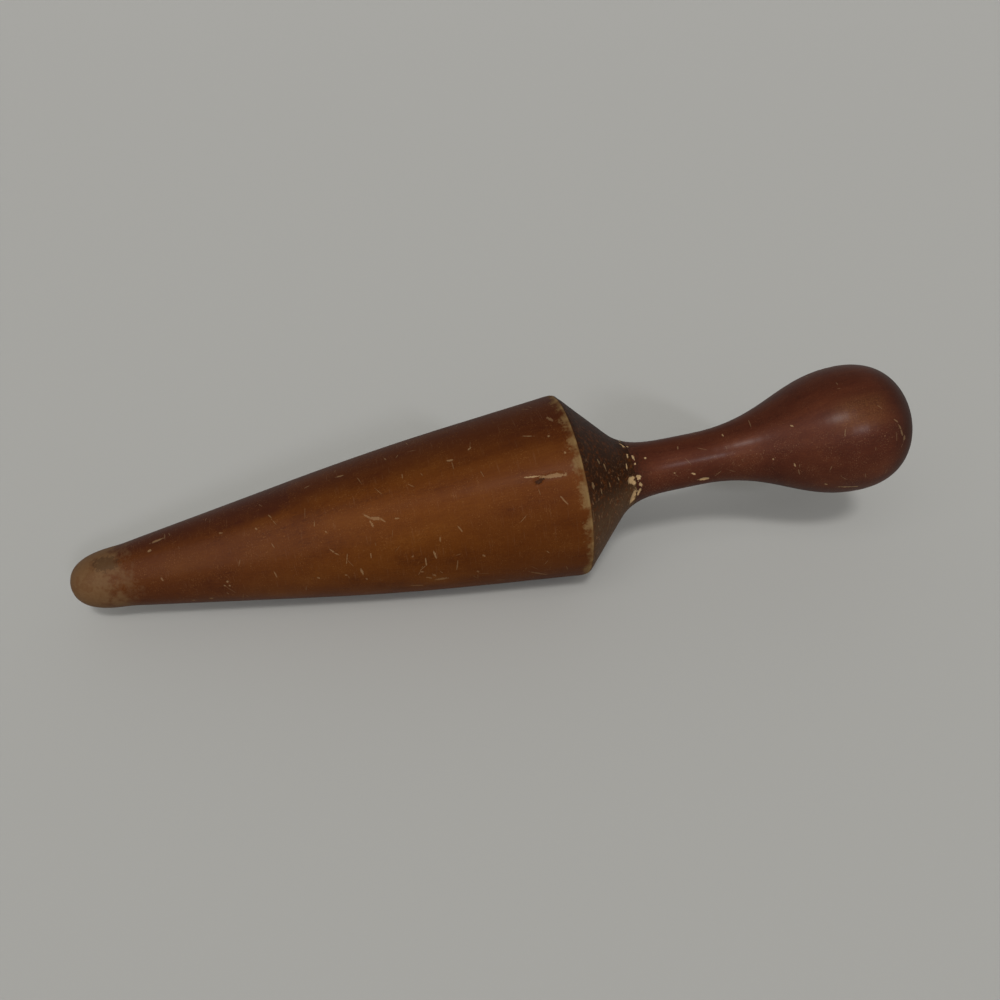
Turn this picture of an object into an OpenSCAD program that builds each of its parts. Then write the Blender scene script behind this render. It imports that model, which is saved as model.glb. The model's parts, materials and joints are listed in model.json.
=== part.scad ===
// Wooden masher for working soft food through a cone-shaped sieve.
// Two turned pieces: a solid cone-shaped head, and a handle with a knob.
// A round tenon on the handle is glued into a blind mortise in the head.
// The masher lies on its side, as it is put down on a table. The straight upper
// taper of the head bears on Z = 0, and the handle ends in the air.
// X runs level from the tip to the knob. The origin is the middle of the
// masher's footprint. All sizes are in millimetres and all angles in degrees.

/* [Head] */
// Distance from the tip to the sharp corner that the rounded rim replaces
cone_l = 188.3; // [170:0.1:205]
// Diameter of the head at that corner
rim_d = 71.7; // [60:0.1:82]
// Radius of the rounded rim
rim_round = 2.3; // [0.5:0.1:5]
// Slope of the upper taper from the axis
upper_taper = 6.2; // [4.5:0.05:8]
// Slope of the lower taper from the axis
lower_taper = 9.6; // [8.6:0.05:11]
// Distance from the tip to the place where the two tapers would meet
taper_change = 117.3; // [100:0.1:135]
// Reach of the soft blend on each side of that place
taper_blend = 32; // [5:0.5:36]

/* [Tip] */
// Distance from the tip to the start of the lower taper
nose_l = 20; // [14:0.5:26]
// How far the end of the nose heads straight outwards before it turns
nose_fullness = 11.7; // [8:0.1:14]
// How far the nose eases into the lower taper
nose_ease = 4; // [1:0.1:8]

/* [Shoulder] */
// Slope of the shoulder from the axis, at the rim
shoulder_slope = 45.8; // [38:0.1:54]
// Diameter at which the straight shoulder turns into the hollow cove
cove_d = 35.2; // [31:0.1:40]
// How far the cove keeps to the shoulder's slope, along the axis
cove_start_ease = 7; // [2:0.1:10]
// How far the cove eases into the neck
cove_end_ease = 11.9; // [4:0.1:14]

/* [Handle] */
// Distance from the rim's corner to the slim, straight neck
neck_from_rim = 45.8; // [42:0.1:56]
// Diameter of the neck
neck_d = 21; // [19:0.1:24]
// Length of the straight stretch of the neck
neck_l = 7.3; // [2:0.1:16]
// Distance from the end of the straight neck to the widest ring of the knob
swell_l = 64.8; // [58:0.1:80]
// How far the handle keeps to the neck as it starts to swell
swell_start_ease = 31.4; // [10:0.1:40]
// How far the handle eases into the knob's widest ring
swell_end_ease = 24; // [8:0.1:36]
// Diameter of the knob
knob_d = 51.6; // [42:0.1:60]
// Distance from the knob's widest ring to its end
knob_end_l = 23.8; // [18:0.1:30]
// How far the knob's side carries on before it turns in
knob_side_ease = 15; // [8:0.1:18]
// Half-width of the flatter middle of the knob's end
knob_end_fullness = 18; // [10:0.1:22]

/* [Joint] */
// Distance from the rim's corner to the face where the handle meets the head
joint_from_rim = 24.2; // [20:0.1:28]
// Diameter of the handle's tenon
tenon_d = 16; // [12:0.1:18]
// Length of the tenon
tenon_l = 38; // [26:0.5:50]
// Chamfer on the tenon's end
tenon_chamfer = 1.5; // [0.5:0.1:2.5]
// Film of glue around the tenon, on the radius
glue_film = 0.05; // [0.02:0.01:0.1]
// Room for glue between the tenon's end and the bored floor of the mortise
glue_room = 2; // [1:0.1:4]
// Point angle of the bit that bored the mortise
bit_point = 118; // [90:1:140]

/* [Smoothness] */
// Steps along each long curve of the outline
curve_steps = 20; // [8:1:32]
// Steps along each rounded corner of the outline
corner_steps = 8; // [4:1:16]
// Facets of the round surfaces on the screen
$fn = 120; // [24:4:200]

/* [Hidden] */

head_stain = [0.40, 0.19, 0.08];
handle_stain = [0.34, 0.13, 0.09];

// How far a bored hole or a tenon's root runs past the face where the pieces meet
past_face = 1;

// Turn round the axis from the line that the masher lies on to its side
start_turn = 90;

// Places along the axis, from the tip
joint_at = cone_l + joint_from_rim;
neck_at = cone_l + neck_from_rim;
swell_at = neck_at + neck_l;
knob_at = swell_at + swell_l;
overall_l = knob_at + knob_end_l;

// Directions of the straight sides, as [out from the axis, along the axis]
lower_side = [sin(lower_taper), cos(lower_taper)];
upper_side = [sin(upper_taper), cos(upper_taper)];
shoulder_side = [-sin(shoulder_slope), cos(shoulder_slope)];
outwards = [1, 0];
onwards = [0, 1];

// Corners of the outline, as [distance from the axis, distance from the tip]
tip = [0, 0];
rim = [rim_d / 2, cone_l];
change = reach_to(rim, upper_side, taper_change);
nose_end = reach_to(change, lower_side, nose_l);
cove_start = rim + shoulder_side * (rim_d - cove_d) / 2 / sin(shoulder_slope);
neck_start = [neck_d / 2, neck_at];
neck_end = [neck_d / 2, swell_at];
knob_side = [knob_d / 2, knob_at];
knob_end = [0, overall_l];

// Reach of the rim's rounding along the two sides that meet there
rim_turn = upper_taper + shoulder_slope;
rim_reach = rim_round * tan(rim_turn / 2);

// The whole outline, from the tip to the end of the knob
outline = concat(
    curve(tip, outwards * nose_fullness, nose_end, lower_side * nose_ease),
    corner(nose_end, change, rim, taper_blend),
    corner(change, rim, cove_start, rim_reach),
    curve(cove_start, shoulder_side * cove_start_ease / cos(shoulder_slope),
        neck_start, onwards * cove_end_ease),
    curve(neck_end, onwards * swell_start_ease, knob_side, onwards * swell_end_ease),
    curve_on(knob_side, onwards * knob_side_ease, knob_end, -outwards * knob_end_fullness)
);

// The masher is tilted until its upper taper lies flat on the table
lie = upper_taper;
lift = -min([for (p = outline) p.y * sin(lie) - p.x * cos(lie)]);
front_end = min([for (p = outline) p.y * cos(lie) - p.x * sin(lie)]);
back_end = max([for (p = outline) p.y * cos(lie) + p.x * sin(lie)]);

// The point at a given distance from the tip, on a line through a known point
function reach_to(known, along, far) = known + along * (far - known.y) / along.y;

function unit(v) = v / norm(v);

// A smooth curve. It leaves its start along one pull and arrives along the other.
function curve(start, leave, end, arrive) = [
    for (i = [0:curve_steps])
    let (t = i / curve_steps, u = 1 - t)
    u * u * u * start
        + 3 * u * u * t * (start + leave)
        + 3 * u * t * t * (end - arrive)
        + t * t * t * end
];

// The same curve without its first point, to follow on from a point already there
function curve_on(start, leave, end, arrive) = let (
    points = curve(start, leave, end, arrive)
) [for (i = [1:curve_steps]) points[i]];

// An arc in place of a corner, from one reach before it to one reach after it
function corner(before, at, after, reach) = let (
    back = unit(before - at),
    on = unit(after - at),
    half = acos(back * on) / 2,
    centre = at + unit(back + on) * reach / cos(half),
    first = at + back * reach - centre,
    last = at + on * reach - centre,
    from = atan2(first.y, first.x),
    to = atan2(last.y, last.x)
) [
    for (i = [0:corner_steps])
    let (a = from + (to - from) * i / corner_steps)
    centre + norm(first) * [cos(a), sin(a)]
];

module outline_between(low, high) {
    intersection() {
        polygon(outline);
        translate([0, low]) square([rim_d, high - low]);
    }
}

module tenon_half() {
    end_at = joint_at - tenon_l;
    polygon([
        [0, end_at],
        [tenon_d / 2 - tenon_chamfer, end_at],
        [tenon_d / 2, end_at + tenon_chamfer],
        [tenon_d / 2, joint_at + past_face],
        [0, joint_at + past_face]
    ]);
}

module mortise_half() {
    mortise_r = tenon_d / 2 + glue_film;
    floor_at = joint_at - tenon_l - glue_room;
    polygon([
        [0, floor_at - mortise_r / tan(bit_point / 2)],
        [mortise_r, floor_at],
        [mortise_r, joint_at + past_face],
        [0, joint_at + past_face]
    ]);
}

// Lays a turned piece down, with its axis from the tip at the left. The plane where
// its turn starts and ends is at its side, clear of the line that it lies on.
module laid_down() {
    translate([-(front_end + back_end) / 2, 0, lift])
        rotate([0, 90 - lie, 0])
        rotate(start_turn)
        children();
}

module head() {
    color(head_stain)
        laid_down()
        rotate_extrude()
        difference() {
            outline_between(0, joint_at);
            mortise_half();
        }
}

module handle() {
    color(handle_stain)
        laid_down()
        rotate_extrude() {
            outline_between(joint_at, overall_l);
            tenon_half();
        }
}

head();
handle();
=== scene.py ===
# %% [markdown]
# # A turned wooden masher
#
# The masher is two pieces of wood from a lathe: a cone-shaped head, and a handle
# that swells into a round knob. A tenon on the handle is glued into the head. The
# wood was stained red-brown and varnished, and long use has rubbed the varnish off
# the tip and the rim, and left dents and scratches all over.
#
# The solid model gives the true shape of both pieces. This lesson turns them again
# in Blender, this time with their wear, and then gives them their finish.

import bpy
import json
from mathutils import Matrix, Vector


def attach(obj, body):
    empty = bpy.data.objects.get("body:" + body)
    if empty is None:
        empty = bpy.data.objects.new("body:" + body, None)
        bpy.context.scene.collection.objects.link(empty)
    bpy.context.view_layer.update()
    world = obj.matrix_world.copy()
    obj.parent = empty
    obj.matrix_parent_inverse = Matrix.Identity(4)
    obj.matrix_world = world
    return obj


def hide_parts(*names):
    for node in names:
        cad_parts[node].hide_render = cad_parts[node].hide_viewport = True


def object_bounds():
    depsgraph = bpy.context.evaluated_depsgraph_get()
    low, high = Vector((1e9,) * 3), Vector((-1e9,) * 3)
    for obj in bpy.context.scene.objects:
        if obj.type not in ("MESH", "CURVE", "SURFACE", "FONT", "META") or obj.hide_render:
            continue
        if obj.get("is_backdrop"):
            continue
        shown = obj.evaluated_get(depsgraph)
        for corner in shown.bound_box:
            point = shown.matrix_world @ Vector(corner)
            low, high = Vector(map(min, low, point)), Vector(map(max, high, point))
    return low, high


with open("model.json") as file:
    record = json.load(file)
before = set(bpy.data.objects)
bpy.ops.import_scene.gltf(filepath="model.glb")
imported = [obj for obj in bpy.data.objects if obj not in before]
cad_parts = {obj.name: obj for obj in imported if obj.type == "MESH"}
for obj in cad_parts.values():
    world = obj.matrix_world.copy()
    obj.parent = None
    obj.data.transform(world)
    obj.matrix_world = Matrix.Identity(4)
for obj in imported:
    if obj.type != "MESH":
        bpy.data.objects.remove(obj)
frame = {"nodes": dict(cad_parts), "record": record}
cad_low, cad_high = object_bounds()
print("the solid model reaches from", cad_low[:], "to", cad_high[:])

# %% Other modules
import json
from math import atan2, cos, degrees, pi, radians, sin

import bpy
import numpy as np
from mathutils import Euler, Matrix, Vector

MM = 0.001

# %% [markdown]
# ## The axis
#
# Everything on a turned piece is easy to place by two numbers: how far it is along
# the axis from the tip, and how far it is turned round the axis. The masher lies
# on its side, so its axis slopes. The record says where the palm grips the knob
# and which way that grip faces, and that line is the axis. The tip is the corner
# of the solid model that lies furthest back along it.

# %% Find the axis and the tip
grip = next(m for m in frame["record"]["mounts"] if m["name"] == "palm_grip")
axis = Vector(grip["axis"]).normalized()
slope = atan2(axis.z, axis.x)
on_axis = Vector(grip["pos_m"])


def corners_of(node):
    """The corners of a CAD node, in metres, one row each."""
    mesh = frame["nodes"][node].data
    corners = np.empty(len(mesh.vertices) * 3, np.float32)
    mesh.vertices.foreach_get("co", corners)
    return corners.reshape(-1, 3).astype(float)


back_to_tip = (corners_of("head") - np.array(on_axis)) @ np.array(axis)
tip = on_axis + axis * back_to_tip.min()
print(f"the tip is at {tip[:]}, and the axis rises by {degrees(slope):.2f} degrees")

# %% [markdown]
# From here on a place is given in the masher's own axes, in millimetres: x runs
# along the axis from the tip, z points to the top of the lying piece, and -y points
# to the near side. `turn` is an angle round the axis, from the top to the near side.

# %% Places on the masher
laid_down = Matrix.Translation(tip) @ Euler((0, -slope, 0)).to_matrix().to_4x4()
stood_up = laid_down.inverted()


def own_axes(corners):
    """Places in metres, brought into the masher's own axes in millimetres."""
    turned = np.array(stood_up.to_3x3())
    return (corners @ turned.T + np.array(stood_up.translation)) / MM


def radial(turn):
    """The direction straight out from the axis at a turn in degrees."""
    return Vector((0, -sin(radians(turn)), cos(radians(turn))))


# %% [markdown]
# ## The camera
#
# The photograph looks down at the masher from its near side, a little from the left
# of the tip. The view is as wide as that of a phone's camera.

# %% Camera
eye = Vector((-73.1, -315.1, 212.0)) * MM
looks_down = 29.14
looks_right = 12.40
lens_mm, sensor_mm = 34.2, 36

camera = bpy.data.objects.new("camera", bpy.data.cameras.new("camera"))
camera.data.lens, camera.data.sensor_width = lens_mm, sensor_mm
camera.location = eye
camera.rotation_euler = (radians(90 - looks_down), 0, radians(-looks_right))
bpy.context.scene.collection.objects.link(camera)
bpy.context.scene.camera = camera
print(f"the camera is {(eye - tip).length:.3f} m from the tip")

# %% [markdown]
# ## The outline of each piece
#
# A turner works from a drawing of the outline. Here the solid model holds it: its
# corners lie in rings round the axis, and each ring gives one point of the outline.
# The rings that are no wider than the tenon belong to the joint inside, unless they
# are at the tip or at the end of the knob, where the outline closes.

# %% Read the rings off the solid model
joint_fit = 8.1
closing_end = 12.0


def rings_of(node, free_end):
    """The outer rings and the joint's rings of a node, each as (along, out)."""
    places = own_axes(corners_of(node))
    along = places[:, 0].round(2)
    out = np.hypot(places[:, 1], places[:, 2])
    widest = {a: out[along == a].max() for a in np.unique(along)}
    narrowest = {a: out[along == a].min() for a in np.unique(along)}
    outer = [
        (a, widest[a]) for a in widest if widest[a] > joint_fit or abs(a - free_end) < closing_end
    ]
    joint = [(a, narrowest[a]) for a in widest if narrowest[a] < joint_fit]
    inner = [(a, r) for a, r in joint if abs(a - free_end) > closing_end]
    return np.array(outer), np.array(inner)


overall = own_axes(corners_of("handle"))[:, 0].max()
head_rings, mortise_rings = rings_of("head", 0)
handle_rings, tenon_rings = rings_of("handle", overall)
joint_at = head_rings[-1, 0]
rim_at, rim_out = head_rings[head_rings[:, 1].argmax()]
print(f"the masher is {overall:.1f} mm long, and its joint is {joint_at:.1f} mm from the tip")
print(f"the head is widest {rim_at:.1f} mm from the tip: {2 * rim_out:.1f} mm across")

all_rings = np.vstack([head_rings, handle_rings])


def radius_at(along):
    """How far the surface is from the axis there, in millimetres."""
    return float(np.interp(along, all_rings[:, 0], all_rings[:, 1]))


# %% [markdown]
# The solid model's outline has a point every few millimetres. A smooth curve through
# them gives as many rings as the wear needs: close together at the rim and at the
# joint, where the dents are small, and further apart between them.

# %% Draw a smooth outline
plain_spacing = 0.8
fine_spacing = 0.42
fine_reach = 5.0


def smooth_curve(at, values, wanted):
    """A cubic curve through the values, which are known at the places in at."""
    rises = np.diff(values) / np.diff(at)
    steps = np.diff(at)
    middle = (rises[:-1] * steps[1:] + rises[1:] * steps[:-1]) / (steps[1:] + steps[:-1])
    slopes = np.concatenate([rises[:1], middle, rises[-1:]])
    i = np.clip(np.searchsorted(at, wanted) - 1, 0, len(steps) - 1)
    h, t = steps[i], (wanted - at[i]) / steps[i]
    return (
        values[i] * (1 + 2 * t) * (1 - t) ** 2
        + values[i + 1] * t * t * (3 - 2 * t)
        + slopes[i] * h * t * (1 - t) ** 2
        - slopes[i + 1] * h * t * t * (1 - t)
    )


def apart(points, least=0.05):
    """The points without those that lie almost on the one before them."""
    kept = [points[0]]
    for point in points[1:]:
        if np.linalg.norm(point - kept[-1]) > least:
            kept.append(point)
    return np.array(kept)


def fine_outline(rings, fine_places):
    """Points along the smooth outline, close together near the fine places."""
    rings = apart(rings)
    walked = np.concatenate([[0], np.cumsum(np.linalg.norm(np.diff(rings, axis=0), axis=1))])
    steps = np.linspace(0, walked[-1], 4000)
    near = np.min([abs(np.interp(steps, walked, rings[:, 0]) - p) for p in fine_places], axis=0)
    spacing = np.interp(near, [fine_reach, 2 * fine_reach], [fine_spacing, plain_spacing])
    passed = np.concatenate([[0], np.cumsum(np.diff(steps) / spacing[1:])])
    wanted = np.interp(np.linspace(0, passed[-1], round(passed[-1])), passed, steps)
    return np.column_stack([smooth_curve(walked, rings[:, k], wanted) for k in (0, 1)])


def pole(along):
    """A point of the outline on the axis."""
    return np.array([[along, 0.0]])


head_skin = fine_outline(head_rings, [rim_at, joint_at])
handle_skin = fine_outline(handle_rings, [joint_at])
head_skin[0, 1] = 0
handle_skin[-1, 1] = 0
head_outline = np.vstack([head_skin, mortise_rings[::-1]])
head_outline[-1, 1] = 0
handle_outline = np.vstack([pole(tenon_rings[0, 0]), tenon_rings, handle_skin])
print(f"the head's outline has {len(head_outline)} points, the handle's {len(handle_outline)}")

# %% [markdown]
# ## Node trees as sums
#
# Both the lathe and the finishes are node trees. A tree is easier to read as a sum
# than as boxes and links, so a wire in a tree can be used like a number: each
# operation adds its Math node. Every other node comes from one method.


# %% A wire that can be used in a sum
class Wire:
    """An output socket in a tree. Each operation on it adds a Math node."""

    def __init__(self, tree, socket):
        self.tree = tree
        self.socket = socket

    def math(self, operation, first, second=0.0):
        settings = {"operation": operation}
        return self.tree.node("ShaderNodeMath", settings, {0: first, 1: second})

    def __add__(self, other):
        return self.math("ADD", self, other)

    def __sub__(self, other):
        return self.math("SUBTRACT", self, other)

    def __rsub__(self, other):
        return self.math("SUBTRACT", other, self)

    def __mul__(self, other):
        return self.math("MULTIPLY", self, other)

    def __truediv__(self, other):
        return self.math("DIVIDE", self, other)

    def __gt__(self, other):
        return self.math("GREATER_THAN", self, other)

    def least(self, other):
        return self.math("MINIMUM", self, other)

    def most(self, other):
        return self.math("MAXIMUM", self, other)

    __radd__ = __add__
    __rmul__ = __mul__


# %% A tree that is drawn node by node
class Tree:
    """A node tree, and the one method that adds nodes to it."""

    def __init__(self, tree):
        self.tree = tree
        tree.nodes.clear()

    def node(self, kind, settings=None, sockets=None, output=0):
        """Adds a node with its settings and its sockets' values or wires."""
        made = self.tree.nodes.new(kind)
        for name, value in (settings or {}).items():
            setattr(made, name, value)
        for name, value in (sockets or {}).items():
            if isinstance(value, Wire):
                self.tree.links.new(value.socket, made.inputs[name])
            else:
                made.inputs[name].default_value = value
        return Wire(self, made.outputs[output]) if made.outputs else made

    def ramp(self, value, low, high):
        """Rises smoothly from 0 at low to 1 at high, or falls if low is above high."""
        return self.node(
            "ShaderNodeMapRange",
            {"interpolation_type": "SMOOTHSTEP"},
            {"Value": value, "From Min": low, "From Max": high},
        )

    def vector(self, operation, first, second=(0, 0, 0), output=0):
        """A Vector Math node."""
        settings = {"operation": operation}
        return self.node("ShaderNodeVectorMath", settings, {0: first, 1: second}, output)

    def noise(self, place, grain, detail=2.0, rough=0.5, output=0):
        """Noise whose lumps are about grain across: one number, or one for each axis."""
        across = (grain,) * 3 if isinstance(grain, (int, float)) else grain
        stretched = self.vector("MULTIPLY", place, tuple(1 / g for g in across))
        sockets = {"Vector": stretched, "Scale": 1.0, "Detail": detail, "Roughness": rough}
        return self.node("ShaderNodeTexNoise", {}, sockets, output)


# %% [markdown]
# ## The lathe
#
# A lathe turns one outline round the axis, so the shape follows a rule, and Geometry
# Nodes can follow it: a flat grid has one row for each point of the outline and one
# column for each step round the axis, and each of its corners is sent to its place.
# The grid's edges then meet and are merged.
#
# Old wood isn't perfectly round any more. Slow noise takes a little off here and
# there, faster noise eats into a worn ring such as the rim, and small chips are
# scattered over another. All of them only take wood away, so the piece stays within
# its solid. The tree keeps how far each place is chipped as an attribute called
# `chipped`, and the finish reads it to show bare wood there.

# %% Inputs of the lathe
lathe_inputs = {
    "Geometry": "NodeSocketGeometry",
    "Sides": "NodeSocketInt",
    "Unevenness": "NodeSocketFloat",
    "Worn ring": "NodeSocketFloat",
    "Worn reach": "NodeSocketFloat",
    "Wear": "NodeSocketFloat",
    "Chipped ring": "NodeSocketFloat",
    "Chipped reach": "NodeSocketFloat",
    "Chips per mm2": "NodeSocketFloat",
    "Chip size": "NodeSocketFloat",
    "Chip depth": "NodeSocketFloat",
    "Seed": "NodeSocketInt",
    "Finish": "NodeSocketMaterial",
}
group = bpy.data.node_groups.new("lathe", "GeometryNodeTree")
for name, kind in lathe_inputs.items():
    group.interface.new_socket(name, in_out="INPUT", socket_type=kind)
group.interface.new_socket("Geometry", in_out="OUTPUT", socket_type="NodeSocketGeometry")
lathe = Tree(group)
given = {name: lathe.node("NodeGroupInput", output=name) for name in lathe_inputs}

# %% Turn the outline
spot = lathe.node("GeometryNodeInputPosition")
points = lathe.node(
    "GeometryNodeAttributeDomainSize", {"component": "MESH"}, {"Geometry": given["Geometry"]}
)
columns = given["Sides"] + 1
grid = lathe.node("GeometryNodeMeshGrid", {}, {"Vertices X": points, "Vertices Y": columns})
index = lathe.node("GeometryNodeInputIndex")
row = lathe.node("ShaderNodeMath", {"operation": "FLOOR"}, {0: (index + 0.5) / columns})
round_the_axis = (index - row * columns) * (2 * pi) / given["Sides"]
drawn = lathe.node(
    "GeometryNodeSampleIndex",
    {"data_type": "FLOAT_VECTOR"},
    {"Geometry": given["Geometry"], "Value": spot, "Index": row},
)
along = lathe.node("ShaderNodeSeparateXYZ", {}, {0: drawn}, "X")
out = lathe.node("ShaderNodeSeparateXYZ", {}, {0: drawn}, "Z")
sine = lathe.node("ShaderNodeMath", {"operation": "SINE"}, {0: round_the_axis})
cosine = lathe.node("ShaderNodeMath", {"operation": "COSINE"}, {0: round_the_axis})
turned = lathe.node("ShaderNodeCombineXYZ", {}, {"X": along, "Y": out * sine, "Z": out * cosine})
shape = lathe.node("GeometryNodeSetPosition", {}, {"Geometry": grid, "Position": turned})
shape = lathe.node("GeometryNodeMergeByDistance", {}, {"Geometry": shape, "Distance": 0.0005})

# %% Wear the surface down
inwards = lathe.vector("SCALE", lathe.node("GeometryNodeInputNormal"), output="Vector")
inwards.socket.node.inputs["Scale"].default_value = -1
here = lathe.node("ShaderNodeSeparateXYZ", {}, {0: spot}, "X")
from_joint = lathe.vector("LENGTH", lathe.vector("MULTIPLY", spot, (0, 1, 1)), output="Value")
on_skin = lathe.ramp(from_joint, joint_fit, joint_fit + 1).most(
    lathe.ramp(here, closing_end, closing_end / 2)
).most(lathe.ramp(here, overall - closing_end, overall))


def near_ring(place, reach):
    """1 on a ring round the axis, falling to 0 at its reach on either side."""
    away = lathe.node("ShaderNodeMath", {"operation": "ABSOLUTE"}, {0: here - place})
    return lathe.ramp(away / reach, 1, 0)


slow = lathe.noise(spot, 30, detail=1)
quick_lumps = lathe.noise(spot, 3.5, detail=3, rough=0.6)
eaten = lathe.ramp(quick_lumps, 0.35, 0.75) * near_ring(given["Worn ring"], given["Worn reach"])
depth = (slow * given["Unevenness"] + eaten * given["Wear"]) * on_skin
shift = lathe.node("ShaderNodeVectorMath", {"operation": "SCALE"}, {0: inwards, "Scale": depth})
shape = lathe.node("GeometryNodeSetPosition", {}, {"Geometry": shape, "Offset": shift})

# %% Scatter chips over a ring
scattered = lathe.node(
    "GeometryNodeDistributePointsOnFaces",
    {"distribute_method": "RANDOM"},
    {
        "Mesh": shape,
        "Density": given["Chips per mm2"]
        * near_ring(given["Chipped ring"], given["Chipped reach"])
        * on_skin,
        "Seed": given["Seed"],
    },
)
random_share = lathe.node(
    "FunctionNodeRandomValue", {"data_type": "FLOAT"}, {2: 0.35, 3: 1.0, "Seed": given["Seed"]}, 1
)
nearest = lathe.node(
    "GeometryNodeSampleNearest", {}, {"Geometry": scattered, "Sample Position": spot}
)
own_size = lathe.node(
    "GeometryNodeSampleIndex",
    {"data_type": "FLOAT"},
    {"Geometry": scattered, "Value": random_share, "Index": nearest},
)
to_chip = lathe.node(
    "GeometryNodeProximity", {"target_element": "POINTS"}, {0: scattered}, "Distance"
)
ragged = to_chip + (lathe.noise(spot, 1.2, detail=2) - 0.5) * given["Chip size"]
chipped = lathe.ramp(ragged / (own_size * given["Chip size"]), 1, 0.4) * on_skin
shape = lathe.node(
    "GeometryNodeStoreNamedAttribute",
    {"data_type": "FLOAT", "domain": "POINT"},
    {"Geometry": shape, "Name": "chipped", "Value": chipped},
)
chip_shift = lathe.node(
    "ShaderNodeVectorMath",
    {"operation": "SCALE"},
    {0: inwards, "Scale": chipped * given["Chip depth"]},
)
shape = lathe.node("GeometryNodeSetPosition", {}, {"Geometry": shape, "Offset": chip_shift})

# %% Shade it and give it its finish
sharp_from = radians(50)
bend = lathe.node("GeometryNodeInputMeshEdgeAngle")
shape = lathe.node("GeometryNodeSetShadeSmooth", {"domain": "FACE"}, {"Geometry": shape})
shape = lathe.node(
    "GeometryNodeSetShadeSmooth",
    {"domain": "EDGE"},
    {"Geometry": shape, "Selection": bend > sharp_from, "Shade Smooth": False},
)
shape = lathe.node("GeometryNodeRealizeInstances", {}, {"Geometry": shape})
shape = lathe.node(
    "GeometryNodeSetMaterial", {}, {"Geometry": shape, "Material": given["Finish"]}
)
lathe.node("NodeGroupOutput", {}, {"Geometry": shape})
print(f"the lathe is a tree of {len(group.nodes)} nodes")

# %% [markdown]
# ## Marks of use
#
# Each mark is given: how far along the axis it is, how far it is turned
# round, its length and width, its slant from the lengthwise direction, how deep it
# is, and how much bare wood it shows. A mark is a flat ellipsoid that lies in the
# surface. The same ellipsoid dents the mesh and shows in the finish: each face of
# the mesh keeps its place within the mark nearest to it, so that the finish can draw
# a scratch that is much narrower than the face.


# %% What a mark is
class Mark:
    """A dent, chip or scratch on the skin of the masher, in millimetres and degrees."""

    def __init__(self, along, turn, length, width, slant=0, depth=0.0, bare=1.0):
        self.size = np.array((length / 2, width / 2, 3.0))
        self.depth = depth
        self.bare = bare
        step = 0.5
        rise = (radius_at(along + step) - radius_at(along - step)) / (2 * step)
        outwards = radial(turn)
        lengthwise = (Vector((1, 0, 0)) + outwards * rise).normalized()
        sideways = Vector((0, -cos(radians(turn)), -sin(radians(turn))))
        into = lengthwise.cross(sideways)
        forward = lengthwise * cos(radians(slant)) + sideways * sin(radians(slant))
        self.centre = np.array(Vector((along, 0, 0)) + outwards * radius_at(along))
        self.frame = np.array(Matrix((forward, into.cross(forward), into)).transposed())
        self.into = np.array(into)

    def within(self, places):
        """Where places are within the mark: its edge is at a distance of 1."""
        return (places - self.centre) @ self.frame / self.size


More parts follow.
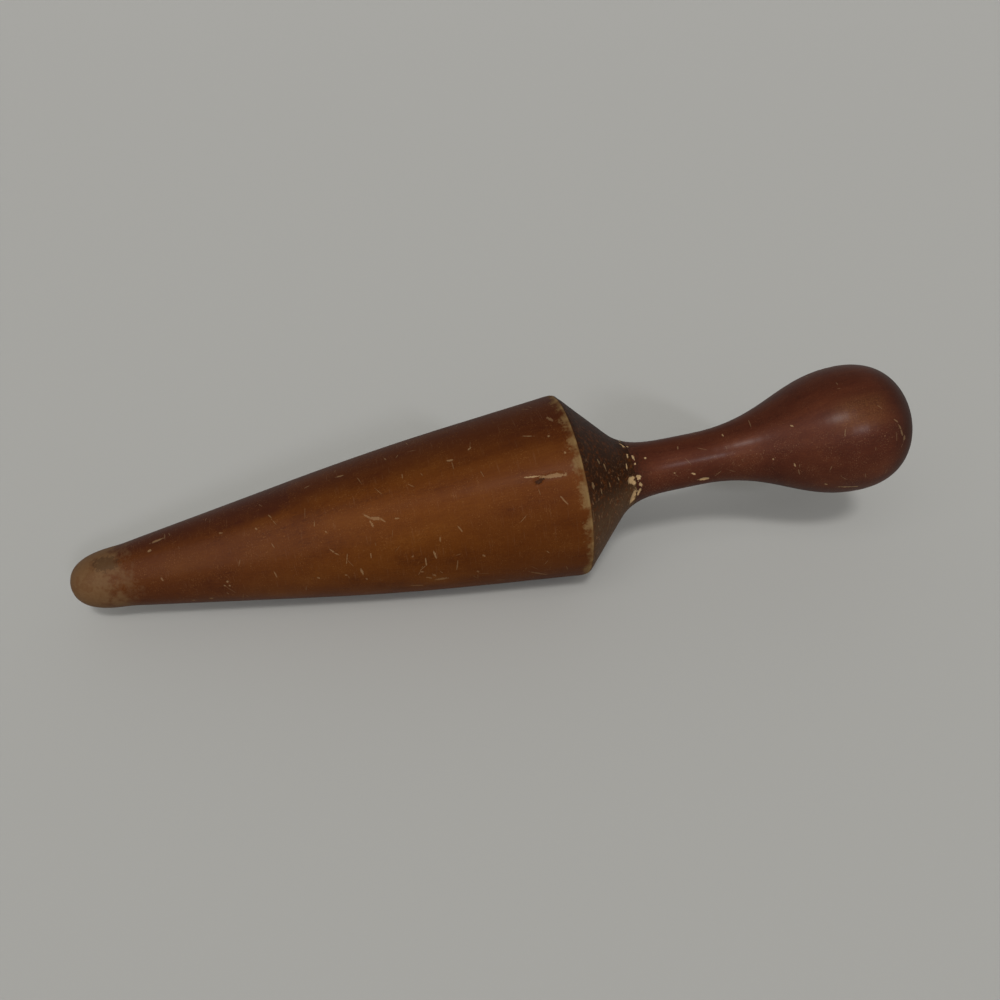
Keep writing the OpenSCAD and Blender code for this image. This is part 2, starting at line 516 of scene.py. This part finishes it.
# %% Marks on the head
head_marks = [
    Mark(171.6, 54.0, 4.2, 1.7, -18, 0.7, -0.7),
    Mark(177.0, 52.6, 10.0, 1.7, 6, 0.22, 0.36),
    Mark(170.0, 50.6, 5.6, 0.7, 8, 0.12, 0.7),
    Mark(210.3, 72.0, 3.6, 3.2, 0, 0.36),
    Mark(211.3, 78.0, 2.4, 2.0, 60, 0.35),
    Mark(210.9, 103.0, 6.4, 3.0, 118, 0.5),
    Mark(209.4, 50.5, 3.0, 0.6, 98, 0.15),
    Mark(211.2, 32.0, 2.2, 0.9, 98, 0.2),
    Mark(211.0, 8.0, 3.2, 0.8, 45, 0.12),
    Mark(190.7, 63.1, 2.3, 1.8, 83, 0.15, 0.36),
    Mark(195.9, 46.9, 2.3, 0.9, 60, 0.1, 0.36),
    Mark(198.4, 50.7, 3.0, 1.0, 70, 0.1, 0.36),
    Mark(204.0, 63.7, 2.0, 0.9, 57, 0.1, 0.36),
    Mark(199.0, 66.5, 2.4, 0.7, 75, 0.08, 0.36),
    Mark(194.3, 68.8, 2.4, 0.6, 80, 0.08, 0.36),
    Mark(15.5, 30.0, 11.0, 6.0, 12, 0.0, -0.40),
    Mark(34.7, 14.8, 5.0, 1.1, -7, 0.15, 0.36),
    Mark(31.7, 29.5, 1.7, 1.2, 3, 0.1, 0.36),
    Mark(103.2, 9.1, 3.2, 0.8, 6, 0.1, 0.36),
    Mark(142.8, 25.9, 3.0, 0.9, 10, 0.12, 0.36),
    Mark(150.7, 20.6, 2.2, 0.6, -32, 0.1, 0.36),
    Mark(183.0, 40.4, 1.0, 0.9, 43, 0.1, 0.36),
    Mark(179.1, 27.1, 1.0, 0.9, 46, 0.1, 0.36),
    Mark(127.2, 95.1, 3.9, 0.6, 91, 0.12, 0.36),
    Mark(130.8, 90.2, 3.9, 0.7, 79, 0.12, 0.36),
    Mark(104.2, 97.7, 3.0, 0.8, 83, 0.12, 0.36),
    Mark(56.7, 91.8, 1.0, 0.9, 52, 0.1, 0.36),
    Mark(55.3, 97.4, 0.9, 0.8, 54, 0.1, 0.36),
    Mark(57.1, 98.2, 0.9, 0.8, 50, 0.1, 0.36),
    Mark(48.9, 121.5, 2.0, 1.0, -3, 0.1, 0.36),
    Mark(42.4, 125.1, 1.6, 0.8, 10, 0.1, 0.36),
    Mark(34.5, 76.4, 1.4, 0.7, 72, 0.0, 0.26),
    Mark(74.0, 89.5, 2.7, 0.6, 78, 0.0, 0.26),
    Mark(88.6, 99.2, 1.2, 0.8, 33, 0.0, 0.26),
    Mark(70.7, 39.8, 1.2, 0.6, 57, 0.0, 0.26),
    Mark(94.7, 57.6, 1.1, 0.7, 56, 0.0, 0.26),
    Mark(58.1, 33.5, 1.6, 0.6, 17, 0.0, 0.26),
    Mark(109.9, 52.4, 3.6, 0.7, 44, 0.0, 0.26),
    Mark(112.7, 55.3, 4.4, 1.3, 12, 0.0, 0.26),
    Mark(115.0, 57.6, 2.6, 0.7, 47, 0.0, 0.26),
    Mark(111.0, 59.0, 3.0, 0.8, 75, 0.0, 0.26),
    Mark(120.1, 58.6, 2.2, 0.6, 12, 0.0, 0.26),
    Mark(120.4, 5.7, 1.9, 0.5, 72, 0.0, 0.26),
    Mark(125.0, 28.2, 2.0, 0.5, 94, 0.0, 0.26),
    Mark(141.1, 74.0, 3.4, 0.6, 62, 0.0, 0.26),
    Mark(133.5, 79.0, 2.1, 0.6, 95, 0.0, 0.26),
    Mark(98.5, 99.2, 1.2, 0.7, 19, 0.0, 0.26),
    Mark(105.3, 106.1, 1.2, 0.7, 74, 0.0, 0.26),
    Mark(122.9, 122.9, 5.6, 0.7, 11, 0.0, 0.26),
    Mark(127.5, 112.6, 2.4, 0.8, 28, 0.0, 0.26),
    Mark(132.0, 115.8, 4.8, 1.6, -7, 0.0, 0.26),
    Mark(129.5, 110.0, 1.8, 0.8, 60, 0.0, 0.26),
    Mark(122.9, 89.0, 1.2, 0.6, -35, 0.0, 0.26),
    Mark(125.2, 104.6, 1.6, 0.7, 10, 0.0, 0.26),
    Mark(145.3, 111.6, 1.4, 0.8, 58, 0.0, 0.26),
    Mark(179.1, 68.1, 4.4, 0.6, 58, 0.0, 0.26),
    Mark(181.7, 14.1, 3.6, 1.2, 61, 0.0, 0.26),
    Mark(168.3, 124.3, 9.4, 0.9, 35, 0.0, 0.26),
    Mark(148.0, 96.6, 1.3, 0.7, 52, 0.0, 0.26),
    Mark(154.1, 128.9, 3.6, 0.6, 12, 0.0, 0.26),
]

# %% Marks on the handle
handle_marks = [
    Mark(214.4, 86.0, 2.4, 1.3, 60, 0.3),
    Mark(213.6, 100.0, 3.2, 1.6, 118, 0.35),
    Mark(213.4, 34.5, 2.0, 1.2, 71, 0.25),
    Mark(218.4, 37.6, 1.2, 1.0, 60, 0.15),
    Mark(213.8, 70.0, 2.6, 1.4, 20, 0.3),
    Mark(236.8, 92.4, 2.0, 0.9, 27, 0.15),
    Mark(241.5, 113.4, 5.0, 1.8, 9, 0.3),
    Mark(228.9, 80.6, 0.9, 0.7, 45, 0.1),
    Mark(267.8, 84.2, 0.9, 0.8, 46, 0.1, 0.6),
    Mark(275.5, 94.5, 2.4, 0.6, 66, 0.12, 0.6),
    Mark(276.2, 43.2, 1.6, 0.6, 39, 0.1, 0.6),
    Mark(251.5, 20.4, 1.5, 0.6, 86, 0.1, 0.6),
    Mark(298.3, 126.9, 9.0, 0.9, 6, 0.15, 0.6),
    Mark(288.5, 122.1, 1.6, 0.8, 25, 0.1, 0.6),
    Mark(316.7, 74.3, 3.2, 1.0, 69, 0.0, 0.26),
    Mark(316.1, 69.3, 3.4, 0.7, 64, 0.0, 0.26),
    Mark(318.0, 80.0, 2.4, 1.3, 90, 0.0, 0.26),
    Mark(314.5, 62.0, 2.6, 0.6, 40, 0.0, 0.26),
]
print(f"{len(head_marks) + len(handle_marks)} marks are placed by hand")

# %% [markdown]
# Besides these there are the fine scratches of a kitchen drawer, which lie anywhere
# and run mostly across the grain. A fixed seed gives the same ones each time.


# %% Fine scratches
def fine_scratches(count, first, last, seed):
    """Thin, faint scratches at random places between two distances from the tip."""
    pick = np.random.default_rng(seed)
    return [
        Mark(
            along=pick.uniform(first, last),
            turn=pick.uniform(-180, 180),
            length=pick.uniform(1.2, 5.0),
            width=pick.uniform(0.22, 0.5),
            slant=pick.normal(80, 35),
            bare=pick.uniform(0.10, 0.32),
        )
        for _ in range(count)
    ]


head_marks += fine_scratches(190, 30, joint_at - 8, seed=5)
handle_marks += fine_scratches(70, joint_at + 8, overall - 8, seed=6)

# %% [markdown]
# ## The finish
#
# The finish is stained wood under worn varnish, and it is built up as the real one
# was. First comes the wood with its grain, then the stain, then what use has done:
# fine sanding scratches round the axis, dirt in the hollows, and bare wood where the
# varnish is gone. A few layers are painted shade, a painted highlight and a painted
# reflection. Each layer is a mask from 0 to 1 that mixes two colours.
#
# Object coordinates are turned into the masher's own axes by one Mapping node, so
# that every pattern can be placed by the distance from the tip and by the turn.


# %% Colours
class Stain:
    """Colours of the wood and its varnish, as light reflects from them, and of painted shade and
    painted highlight.
    """

    bare = (0.33, 0.215, 0.105, 1)
    rim = (0.165, 0.100, 0.040, 1)
    worn_and_floor_reflection = (0.118, 0.062, 0.026, 1)
    scuffed = (0.175, 0.092, 0.045, 1)
    dirt = (0.014, 0.007, 0.004, 1)
    maroon = (0.036, 0.0085, 0.0045, 1)
    golden_speck_and_sheen = (0.190, 0.085, 0.026, 1)
    painted_end_shade = (0.020, 0.006, 0.003, 1)


# %% Start a finish
def start_finish(name):
    """A new material's tree, and the place on it in the masher's own axes."""
    material = bpy.data.materials.new(name)
    material.use_nodes = True
    tree = Tree(material.node_tree)
    coordinates = tree.node("ShaderNodeTexCoord", output="Object")
    tip_turned = stood_up.to_3x3() @ tip / MM
    place = tree.node(
        "ShaderNodeMapping",
        {"vector_type": "POINT"},
        {
            "Vector": coordinates,
            "Location": -tip_turned,
            "Rotation": (0, slope, 0),
            "Scale": (1 / MM,) * 3,
        },
    )
    return material, tree, place


# %% The mark nearest to a place
def marked(tree, ragged):
    """How much of a mark is here, and how bare it is, from the mesh's attributes."""
    within = tree.node("ShaderNodeAttribute", {"attribute_name": "mark_place"}, {}, "Vector")
    bare = tree.node("ShaderNodeAttribute", {"attribute_name": "mark_bare"}, {}, "Fac")
    away = tree.vector("LENGTH", within, output="Value") + (ragged - 0.5) * 1.9
    return tree.ramp(away, 1.1, 0.7), bare


def laid_bare(tree, ragged):
    """Where the marks and the lathe's chips show bare wood, and where a mark is dark."""
    shown, bareness = marked(tree, ragged)
    chips = tree.node("ShaderNodeAttribute", {"attribute_name": "chipped"}, {}, "Fac")
    chips = tree.ramp(chips + (ragged - 0.5) * 0.5, 0.35, 0.55)
    return shown, (shown * bareness).most(chips), shown * (0 - bareness).most(0)


# %% Mix two colours
def mix(tree, share, first, second):
    """The first colour where share is 0, the second where it is 1."""
    sockets = {0: share, 6: first, 7: second}
    return tree.node("ShaderNodeMix", {"data_type": "RGBA"}, sockets, 2)


# %% Wood and stain, the same way for both pieces
def stained_wood(tree, place, pale, mid, deep, seed):
    """The stained colour with its grain, and the noises of the fibres and the pores."""
    blank = tree.vector("ADD", place, seed)
    fibres = tree.noise(blank, (14, 0.5, 0.5), detail=3, rough=0.6)
    bands = tree.noise(blank, (70, 5, 9), detail=2, rough=0.5)
    blotches = tree.noise(blank, 16, detail=3, rough=0.55)
    mottle = tree.noise(blank, 0.9, detail=2, rough=0.6)
    shade = bands * 0.35 + blotches * 0.3 + fibres * 0.2 + mottle * 0.15
    colour = mix(tree, tree.ramp(shade, 0.30, 0.52), deep, mid)
    colour = mix(tree, tree.ramp(shade, 0.48, 0.72) * 0.8, colour, pale)
    return colour, fibres, mottle


# %% Roll the surface out flat
def unrolled(tree, place, mean_out=25.0):
    """The surface rolled out flat: along the axis, and round it at a mean radius."""
    x = tree.node("ShaderNodeSeparateXYZ", {}, {0: place}, "X")
    y = tree.node("ShaderNodeSeparateXYZ", {}, {0: place}, "Y")
    z = tree.node("ShaderNodeSeparateXYZ", {}, {0: place}, "Z")
    turn = tree.node("ShaderNodeMath", {"operation": "ARCTAN2"}, {0: 0 - y, 1: z})
    flat = tree.node("ShaderNodeCombineXYZ", {}, {"X": x, "Y": turn * mean_out})
    return x, turn * (180 / pi), flat


# %% Finish a material
relief = 0.08 * MM


def close_finish(tree, colour, rough, height, gloss):
    """The shader, with its coat of varnish and the small relief in its surface."""
    bump = tree.node(
        "ShaderNodeBump", {}, {"Strength": 1.0, "Distance": relief, "Height": height}
    )
    shader = tree.node(
        "ShaderNodeBsdfPrincipled",
        {},
        {
            "Base Color": colour,
            "Roughness": rough,
            "Metallic": 0.18,
            "Specular IOR Level": 0.025,
            "Coat Weight": gloss,
            "Coat Roughness": 0.27,
            "Normal": bump,
        },
    )
    tree.node("ShaderNodeOutputMaterial", {}, {"Surface": shader})


# %% [markdown]
# ### The head
#
# The cone is orange-brown where the light falls on it. Its top is painted darker
# maroon as shade, and so is the cone towards the rim, where the light falls off. It is
# maroon towards its tip as well. Close to the tip there is a darker patch that ends in
# a line. Fine sanding lines run round it, and golden speckle shows through the varnish
# everywhere.

# %% The head's stain and its painted shade
head_finish, tree, place = start_finish("head_varnish")
x, turn, flat = unrolled(tree, place)
colour, fibres, mottle = stained_wood(
    tree,
    place,
    pale=(0.122, 0.039, 0.0055, 1),
    mid=(0.084, 0.023, 0.003, 1),
    deep=(0.043, 0.0095, 0.002, 1),
    seed=(0, 0, 0),
)
ragged_edge = tree.noise(place, 1.0, detail=3, rough=0.65)
patches = tree.noise(place, 6.0, detail=3, rough=0.6)
# Painted shade: the top of the cone is darkened towards maroon, as less light falls on it there.
painted_top_shade = tree.ramp(turn + (patches - 0.5) * 12, 38, 10) * tree.ramp(turn, -150, -60)
colour = mix(tree, painted_top_shade * 0.55, colour, Stain.maroon)
towards_tip = tree.ramp(x, 110, 30)
colour = mix(tree, towards_tip * 0.42, colour, Stain.maroon)
# Painted shade: the cone is darkened towards maroon on the way to the rim, where the light falls
# off.
painted_rim_ward_shade = tree.ramp(x, 115, 180)
colour = mix(tree, painted_rim_ward_shade * 0.22, colour, Stain.maroon)
maroon_patch = tree.ramp(x + (ragged_edge - 0.5) * 3, 84.5, 83.0) * tree.ramp(x, 45, 78)
maroon_patch = maroon_patch * tree.ramp(turn + (patches - 0.5) * 30, 34, 18)
colour = mix(tree, maroon_patch * tree.ramp(turn, -60, -10) * 0.55, colour, Stain.maroon)
sanding = tree.noise(flat, (0.45, 7, 1), detail=2)
colour = mix(tree, tree.ramp(sanding, 0.60, 0.78) * 0.22, colour, Stain.scuffed)
speckle = tree.ramp(tree.noise(place, 0.42, detail=2, rough=0.6), 0.56, 0.72)
speckle = speckle * tree.ramp(patches, 0.36, 0.60)
colour = mix(tree, speckle * 0.40, colour, Stain.golden_speck_and_sheen)

# %% [markdown]
# Pressing fruit has rubbed the tip down to dull tan wood, with a speckled edge. The
# rim has a worn band that ends sharply at the shoulder and fades out over the cone.
# The shoulder itself is never rubbed, so dirt has made it nearly black, with flakes
# of paler varnish on its near side. Its low side is lightened to tan as a painted
# reflection of the floor.

# %% The rubbed tip
tip_line = x + (patches - 0.5) * 34 + (ragged_edge - 0.5) * 10
rubbed_tip = tree.ramp(tip_line, 27, 13)
left_on = tree.ramp(patches, 0.66, 0.54).most(0.78)
colour = mix(tree, rubbed_tip * left_on * (0.55 + ragged_edge * 0.7).least(1), colour, Stain.worn_and_floor_reflection)

# %% The worn rim
behind_rim = x - rim_at
rim_line = behind_rim + (ragged_edge - 0.5) * 6 + (patches - 0.5) * 7
rubbed_rim = tree.ramp(rim_line, -2.8, -0.2) * tree.ramp(behind_rim, 0.9, 0.5)
worn_through = 0.15 + tree.ramp(patches, 0.40, 0.60) * 0.55 + tree.ramp(behind_rim, -0.8, 0.4) * 0.3
colour = mix(tree, rubbed_rim * worn_through, colour, Stain.rim)

# %% The dirty shoulder and its painted floor reflection
shoulder = tree.ramp(behind_rim, 0.4, 1.0)
grime = tree.noise(place, (3, 1.5, 1.5), detail=3, rough=0.6)
dirty = shoulder * tree.ramp(grime, 0.2, 0.55)
colour = mix(tree, dirty * 0.85, colour, Stain.dirt)
flakes = tree.noise(flat, (0.7, 1.8, 1), detail=3, rough=0.7)
flakes = tree.ramp(flakes, 0.55, 0.66) * tree.ramp(patches, 0.38, 0.58) * shoulder
low_side = tree.ramp(turn, 30, 75)
# Painted reflection: the dark shoulder's low side is lightened to tan, where the floor reflects in
# it.
colour = mix(tree, dirty * low_side * tree.ramp(turn, 62, 95) * 0.4, colour, Stain.worn_and_floor_reflection)
colour = mix(tree, flakes * (0.15 + low_side * 0.75), colour, Stain.scuffed)

# %% The head's marks and its varnish
shown, bare, dark = laid_bare(tree, ragged_edge)
colour = mix(tree, bare, colour, Stain.bare)
colour = mix(tree, dark, colour, Stain.dirt)
rough = 0.42 + mottle * 0.2 + (rubbed_tip.most(rubbed_rim).most(bare)) * 0.2
height = fibres * 0.3 + mottle * 0.5 + sanding * 0.3 - shown.most(bare) * 0.6
satin = 0.015 + tree.ramp(x, 140, 60) * 0.10
close_finish(tree, colour, rough, height, satin)
print(f"the head's finish is a tree of {len(head_finish.node_tree.nodes)} nodes")

# %% [markdown]
# ### The handle
#
# The handle took the stain more red, and hands have kept its varnish smooth. Dust
# speckles its near side, a painted highlight makes a golden patch near the top of the
# knob, the knob's end is painted darker as shade, and dirt has gathered in the cove at
# the joint.

# %% The handle's stain
handle_finish, tree, place = start_finish("handle_varnish")
x, turn, flat = unrolled(tree, place)
colour, fibres, mottle = stained_wood(
    tree,
    place,
    pale=(0.094, 0.027, 0.0105, 1),
    mid=(0.057, 0.0145, 0.0065, 1),
    deep=(0.032, 0.0075, 0.004, 1),
    seed=(40, 13, 7),
)
ragged_edge = tree.noise(place, 1.0, detail=3, rough=0.65)
patches = tree.noise(place, 6.0, detail=3, rough=0.6)
speckle = tree.ramp(tree.noise(place, 0.42, detail=2, rough=0.6), 0.56, 0.72)
dusty = speckle * tree.ramp(patches, 0.34, 0.60) * (0.25 + tree.ramp(turn, 40, 80) * 0.4)
colour = mix(tree, dusty, colour, Stain.scuffed)

# %% The knob and the root
# Painted highlight: a speckled golden sheen near the top of the knob, where the key light's broad
# highlight falls.
painted_knob_highlight = tree.ramp(x, 286, 298) * tree.ramp(x, 317, 306)
painted_knob_highlight = painted_knob_highlight * tree.ramp(turn, 26, 42) * tree.ramp(turn, 68, 56)
highlight_specks = 0.35 + tree.ramp(tree.noise(place, 0.6, detail=3, rough=0.7), 0.44, 0.68) * 0.65
colour = mix(tree, painted_knob_highlight * highlight_specks * 0.30, colour, Stain.golden_speck_and_sheen)
# Painted shade: the end of the knob is darkened, as it faces away from the light.
painted_knob_end_shade = tree.ramp(x + (patches - 0.5) * 6, 309, 324)
colour = mix(tree, painted_knob_end_shade * 0.85, colour, Stain.painted_end_shade)
root = tree.ramp(x, joint_at + 9, joint_at)
colour = mix(tree, root * tree.ramp(ragged_edge, 0.3, 0.7) * 0.7, colour, Stain.dirt)

# %% The handle's marks and its varnish
shown, bare, _ = laid_bare(tree, ragged_edge)
colour = mix(tree, bare, colour, Stain.bare)
rough = 0.42 + mottle * 0.2 + bare * 0.2
height = fibres * 0.25 + mottle * 0.45 - shown.most(bare) * 0.6
close_finish(tree, colour, rough, height, gloss=0.10)
print(f"the handle's finish is a tree of {len(handle_finish.node_tree.nodes)} nodes")

# %% [markdown]
# ## Turning the two pieces
#
# The outline goes in as a string of points. The lathe's inputs are set before the
# object is first looked at, and the result is kept as a plain mesh, so that the
# marks can be pressed into it.


# %% Put an outline in the lathe
def turn_piece(name, outline, settings):
    """A plain mesh of the outline turned round the axis, in the masher's own axes."""
    drawing = bpy.data.meshes.new(name + "_outline")
    drawing.from_pydata([(a, 0, r) for a, r in outline.tolist()], [], [])
    blank = bpy.data.objects.new(name + "_blank", drawing)
    bpy.context.scene.collection.objects.link(blank)
    modifier = blank.modifiers.new("lathe", "NODES")
    modifier.node_group = group
    for item in group.interface.items_tree:
        if item.in_out == "INPUT" and item.name in settings:
            modifier[item.identifier] = settings[item.name]
    depsgraph = bpy.context.evaluated_depsgraph_get()
    mesh = bpy.data.meshes.new_from_object(
        blank.evaluated_get(depsgraph), preserve_all_data_layers=True, depsgraph=depsgraph
    )
    bpy.data.objects.remove(blank)
    piece = bpy.data.objects.new(name, mesh)
    bpy.context.scene.collection.objects.link(piece)
    return piece


# %% Press the marks in
def mark_piece(piece, marks):
    """Dents the skin under each mark, and keeps each face's place in its nearest mark."""
    mesh = piece.data
    places = np.empty(len(mesh.vertices) * 3, np.float32)
    mesh.vertices.foreach_get("co", places)
    places = places.reshape(-1, 3).astype(float)
    middles = np.empty(len(mesh.polygons) * 3, np.float32)
    mesh.polygons.foreach_get("center", middles)
    middles = middles.reshape(-1, 3).astype(float)
    nearest = np.full(len(middles), np.inf)
    chosen = np.zeros(len(middles), int)
    for number, mark in enumerate(marks):
        away = np.linalg.norm(mark.within(middles), axis=1)
        chosen[away < nearest] = number
        nearest = np.minimum(nearest, away)
    corner_places = np.empty(len(mesh.loops), np.int32)
    mesh.loops.foreach_get("vertex_index", corner_places)
    corner_counts = np.empty(len(mesh.polygons), np.int32)
    mesh.polygons.foreach_get("loop_total", corner_counts)
    corner_marks = np.repeat(chosen, corner_counts)
    within = np.empty((len(corner_places), 3), np.float32)
    for number, mark in enumerate(marks):
        own = corner_marks == number
        within[own] = mark.within(places[corner_places[own]])
    attribute = mesh.attributes.new("mark_place", "FLOAT_VECTOR", "CORNER")
    attribute.data.foreach_set("vector", within.ravel())
    attribute = mesh.attributes.new("mark_bare", "FLOAT", "CORNER")
    bareness = np.array([mark.bare for mark in marks], np.float32)
    attribute.data.foreach_set("value", bareness[corner_marks])
    for mark in marks:
        inside = np.clip(1 - (mark.within(places) ** 2).sum(axis=1), 0, 1)
        places += np.outer(inside * mark.depth, mark.into)
    mesh.vertices.foreach_set("co", places.astype(np.float32).ravel())
    mesh.update()


# %% Lay a piece down where the solid model has it
def lay_down(piece):
    """Brings a piece from its own axes in millimetres to its place in metres."""
    piece.data.transform(laid_down @ Matrix.Scale(MM, 4))
    piece.data.update()
    print(f"{piece.name}: {len(piece.data.vertices)} corners, {len(piece.data.polygons)} faces")


# %% The head
head = turn_piece(
    "turned_head",
    head_outline,
    {
        "Sides": 240,
        "Unevenness": 0.12,
        "Worn ring": float(rim_at) + 0.8,
        "Worn reach": 2.6,
        "Wear": 0.35,
        "Chipped ring": float(joint_at),
        "Chipped reach": 4.0,
        "Chips per mm2": 0.10,
        "Chip size": 1.3,
        "Chip depth": 0.3,
        "Seed": 3,
        "Finish": head_finish,
    },
)
mark_piece(head, head_marks)
lay_down(head)
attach(head, "root")
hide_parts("head")

# %% The handle
handle = turn_piece(
    "turned_handle",
    handle_outline,
    {
        "Sides": 240,
        "Unevenness": 0.10,
        "Worn ring": float(overall),
        "Worn reach": 1.0,
        "Wear": 0.0,
        "Chipped ring": float(joint_at),
        "Chipped reach": 3.5,
        "Chips per mm2": 0.08,
        "Chip size": 1.1,
        "Chip depth": 0.25,
        "Seed": 8,
        "Finish": handle_finish,
    },
)
mark_piece(handle, handle_marks)
lay_down(handle)
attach(handle, "root")
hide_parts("handle")

# %% [markdown]
# ## Floor and light
#
# The floor is a plain pale surface, wide enough to fill the view. The light is that
# of a plain studio: a key light from the near side and above, which draws the satin
# streak along the cone, a very soft one from the left, a low one that shines in the
# neck and the knob, and a pale surround that is darker overhead.

# %% Floor
floor_reach = 12.0
floor_mesh = bpy.data.meshes.new("floor")
floor_mesh.from_pydata(
    [(x * floor_reach, y * floor_reach, 0) for x, y in ((-1, -1), (1, -1), (1, 1), (-1, 1))],
    [],
    [(0, 1, 2, 3)],
)
floor = bpy.data.objects.new("floor", floor_mesh)
bpy.context.scene.collection.objects.link(floor)
floor_finish = bpy.data.materials.new("floor_paint")
floor_finish.use_nodes = True
paint = floor_finish.node_tree.nodes["Principled BSDF"]
paint.inputs["Base Color"].default_value = (0.42, 0.415, 0.39, 1)
paint.inputs["Roughness"].default_value = 0.6
paint.inputs["Specular IOR Level"].default_value = 0.3
floor_mesh.materials.append(floor_finish)
floor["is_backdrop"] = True


# %% Lights
def sun(name, azimuth, height, strength, softness, colour=(1, 1, 1)):
    """A light from far away. Azimuth 0 shines along +Y, and more comes from the left."""
    lamp = bpy.data.lights.new(name, "SUN")
    lamp.energy, lamp.angle, lamp.color = strength, radians(softness), colour
    lit = bpy.data.objects.new(name, lamp)
    lit.rotation_euler = (radians(90 - height), 0, radians(-azimuth))
    bpy.context.scene.collection.objects.link(lit)


sun("key_light", azimuth=9, height=50, strength=1.25, softness=10)
sun("soft_light", azimuth=26, height=36, strength=1.1, softness=70)
sun("low_light", azimuth=-14, height=24, strength=0.8, softness=6, colour=(0.90, 0.92, 1))

world = bpy.data.worlds.new("surround")
world.use_nodes = True
sky = Tree(world.node_tree)
way = sky.node("ShaderNodeTexCoord", output="Generated")
upwards = sky.node("ShaderNodeSeparateXYZ", {}, {0: way}, "Z")
level = 0.18 + sky.ramp(upwards, 0.9, 0.1) * 0.38
surround = sky.node("ShaderNodeBackground", {}, {"Color": (1, 0.99, 0.96, 1), "Strength": level})
sky.node("ShaderNodeOutputWorld", {}, {"Surface": surround})
bpy.context.scene.world = world
bpy.context.scene.view_settings.view_transform = "Standard"

# %% Compare the sizes and finish
low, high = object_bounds()
grown = max(max(cad_low[k] - low[k], high[k] - cad_high[k]) for k in range(3))
print(f"the dressed masher reaches {grown / MM:.3f} mm past the solid model at most")
